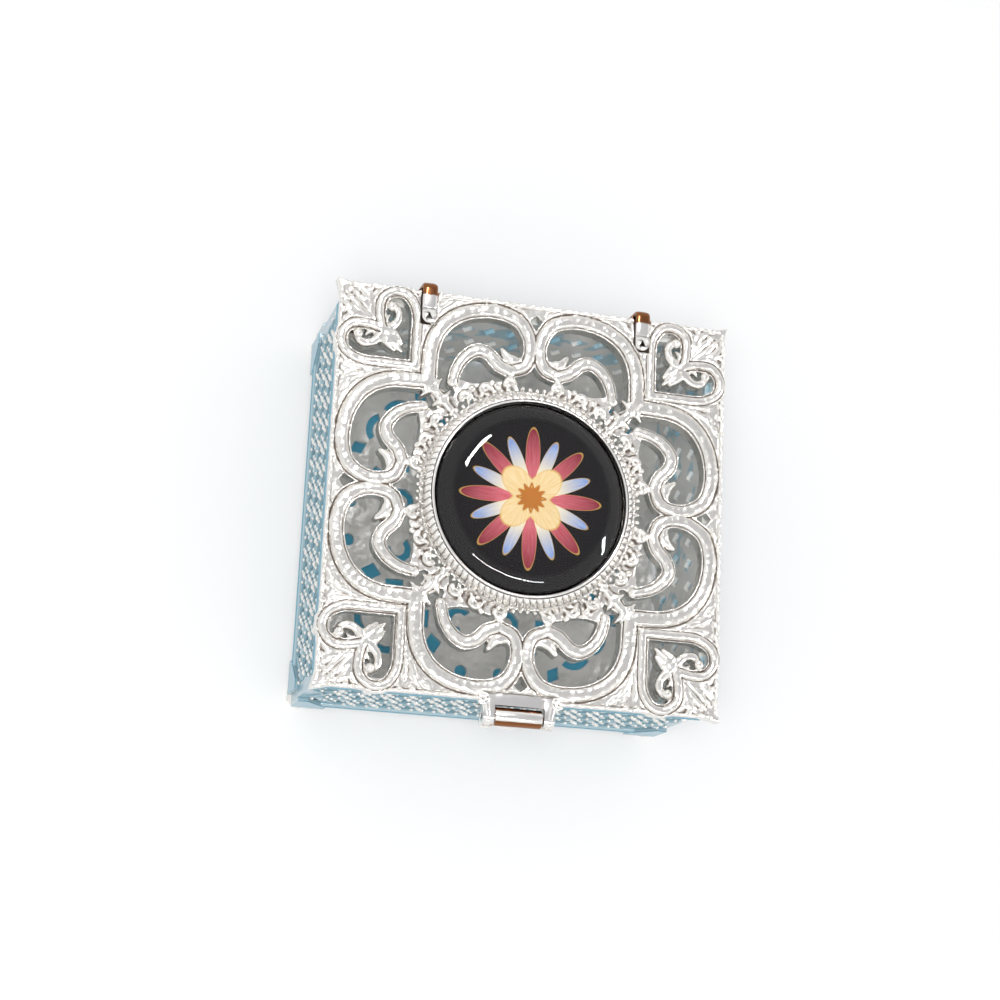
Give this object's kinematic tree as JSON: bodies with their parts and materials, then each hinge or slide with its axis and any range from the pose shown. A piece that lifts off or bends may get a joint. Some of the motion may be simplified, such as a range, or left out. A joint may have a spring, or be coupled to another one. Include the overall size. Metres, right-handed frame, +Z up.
{
  "type": "rosary box",
  "caption": "Small square keepsake box: cast openwork lid with a domed glass medallion, hinged to pierced walls on bun feet, with a hanging front clasp.",
  "frame": {"origin": "middle of the whole footprint, hinges and clasp included, at the level of the table", "axes": "+Z up, -Y towards the clasp at the front, +Y towards the hinges at the back, +X to the right seen from the front"},
  "size_m": [0.0542, 0.0572, 0.0271],
  "materials": {
    "silver": "silver plate on a cast alloy, bright with darkened hollows",
    "bright_silver": "polished silver plate",
    "enamelled_silver": "silver relief over a pale blue cold-enamel ground",
    "lining": "blue lacquered sheet, satin",
    "picture": "printed rosette on a dark ground, gloss",
    "glass": "clear domed glass, polished",
    "steel": "dull wire"
  },
  "bodies": {
    "box": {"front_wall": "enamelled_silver", "back_wall": "enamelled_silver", "left_wall": "enamelled_silver", "right_wall": "enamelled_silver", "floor_plate": "silver", "floor_lining": "lining", "foot_front_left": "silver", "foot_front_right": "silver", "foot_back_left": "silver", "foot_back_right": "silver", "hinge_lugs_left": "bright_silver", "hinge_lugs_right": "bright_silver", "hinge_pin_left": "steel", "hinge_pin_right": "steel", "clasp_stud": "bright_silver"},
    "lid": {"lid_casting": "silver", "bezel_ring": "bright_silver", "picture_disc": "picture", "clear_dome": "glass", "hinge_strap_left": "bright_silver", "hinge_strap_right": "bright_silver", "clasp_bracket": "bright_silver", "clasp_pin": "steel"},
    "hasp": {"clasp_hasp": "bright_silver"}
  },
  "joints": [
    {"name": "lid_hinge", "type": "hinge", "parent": "box", "child": "lid", "pos_m": [0, 0.0277, 0.0214], "axis": [-1, 0, 0], "range_deg": [0, 105]},
    {"name": "clasp_hinge", "type": "hinge", "parent": "lid", "child": "hasp", "pos_m": [0, -0.0273, 0.0232], "axis": [-1, 0, 0], "range_deg": [0, 110]}
  ]
}
